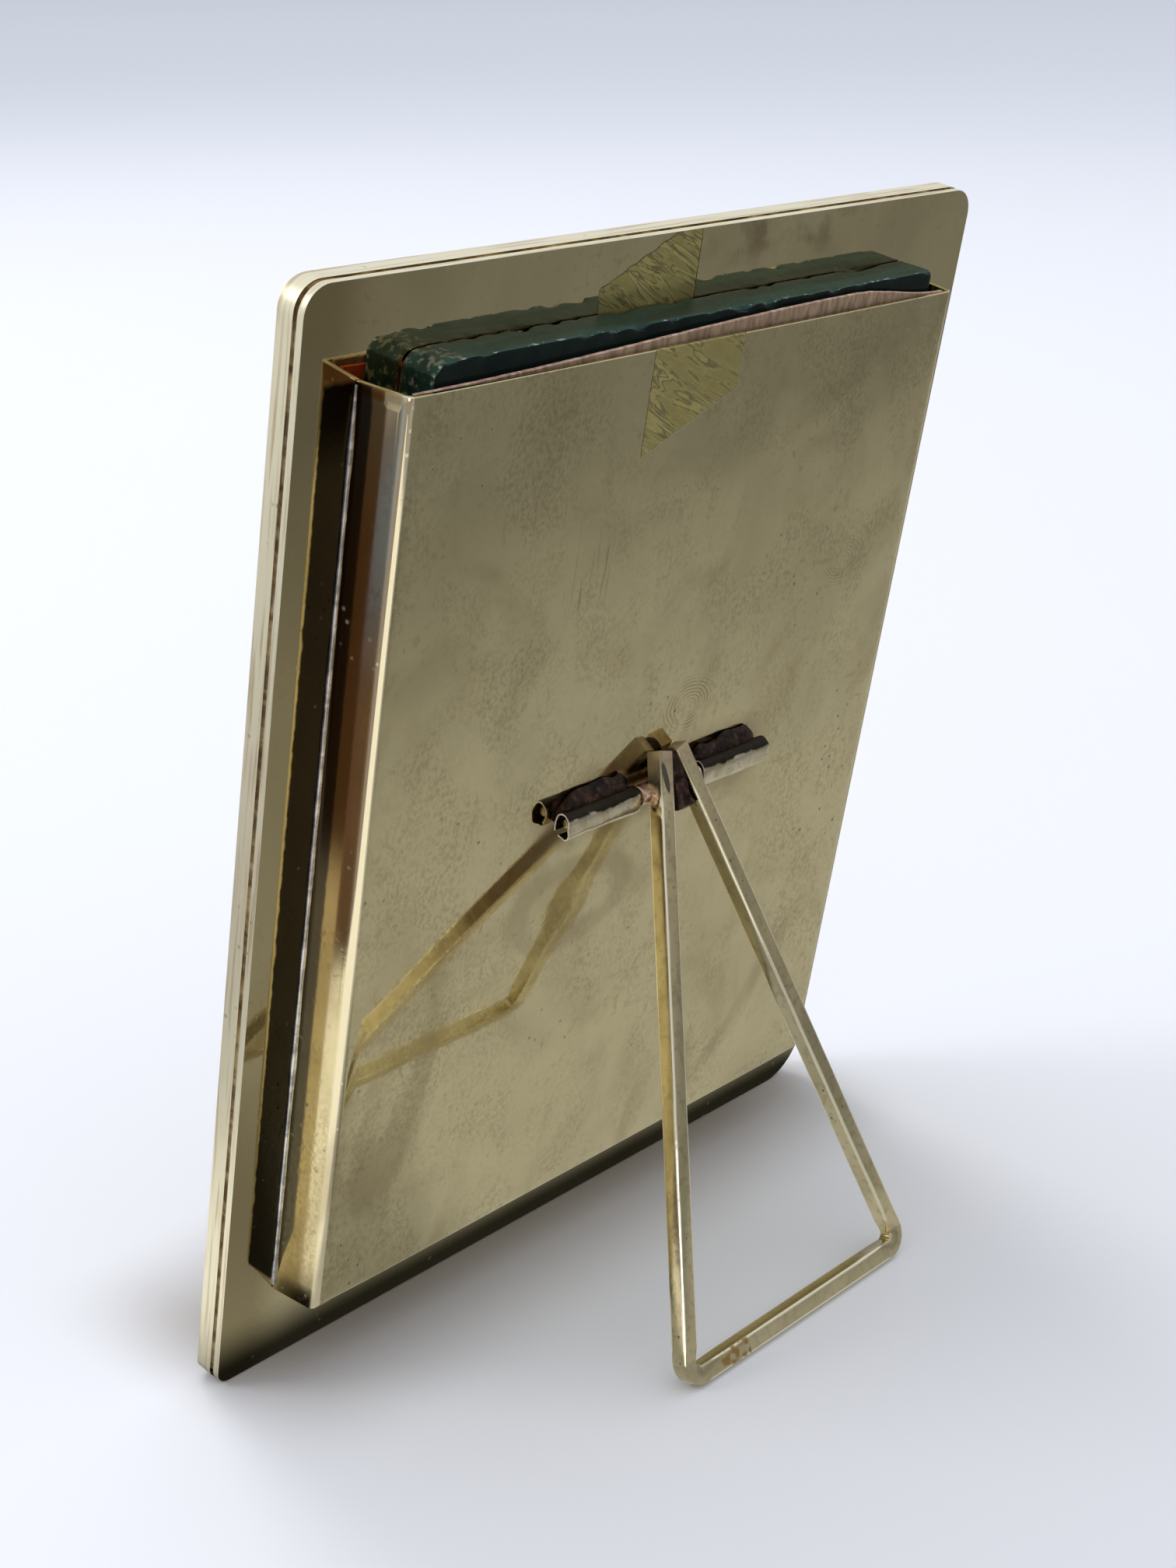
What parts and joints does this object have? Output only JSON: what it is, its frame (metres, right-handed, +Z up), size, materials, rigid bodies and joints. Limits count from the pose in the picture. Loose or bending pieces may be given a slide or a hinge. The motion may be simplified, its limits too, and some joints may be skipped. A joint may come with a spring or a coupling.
{
  "type": "picture frame",
  "caption": "Small brass picture frame that leans back on a hinged triangular bar strut, with a soldered rear pocket for glass, picture and backing card.",
  "frame": {"origin": "middle of the footprint, on the table", "axes": "+Z up, the picture looks towards -Y, the strut stands behind towards +Y, +X is the frame's right side seen from the front"},
  "size_m": [0.088, 0.0374, 0.1036],
  "materials": {
    "polished_brass": "polished, lightly aged",
    "aged_brass": "polished sheet dulled by handling",
    "bright_solder": "tin solder",
    "tarnished_solder": "flux-stained solder",
    "green_glass": "clear pane with a green cut edge",
    "red_paper": "matt",
    "brown_card": "matt"
  },
  "bodies": {
    "frame": {"front_plate": "polished_brass", "back_sheet": "aged_brass", "seam_solder": "tarnished_solder", "pocket": "aged_brass", "pocket_solder_left": "bright_solder", "pocket_solder_right": "bright_solder", "pocket_solder_foot": "bright_solder", "hinge_knuckle_left": "aged_brass", "hinge_knuckle_right": "aged_brass", "knuckle_solder_left": "tarnished_solder", "knuckle_solder_right": "tarnished_solder"},
    "strut": {"strut_bar": "polished_brass", "strut_solder": "tarnished_solder", "hinge_sleeve": "aged_brass", "hinge_pin": "aged_brass"},
    "glass": {"glass_pane": "green_glass"},
    "picture": {"picture_sheet": "red_paper"},
    "card": {"backing_card": "brown_card"}
  },
  "joints": [
    {"name": "strut_fold", "type": "hinge", "parent": "frame", "child": "strut", "pos_m": [-0.0008, 0.00104, 0.05121], "axis": [1, 0, 0], "range_deg": [-30, 0]},
    {"name": "glass_lift", "type": "slide", "parent": "frame", "child": "glass", "axis": [0, 0.1925, 0.9813], "range_m": [0, 0.095]},
    {"name": "picture_lift", "type": "slide", "parent": "frame", "child": "picture", "axis": [0, 0.1925, 0.9813], "range_m": [0, 0.095]},
    {"name": "card_lift", "type": "slide", "parent": "frame", "child": "card", "axis": [0, 0.1925, 0.9813], "range_m": [0, 0.095]}
  ]
}
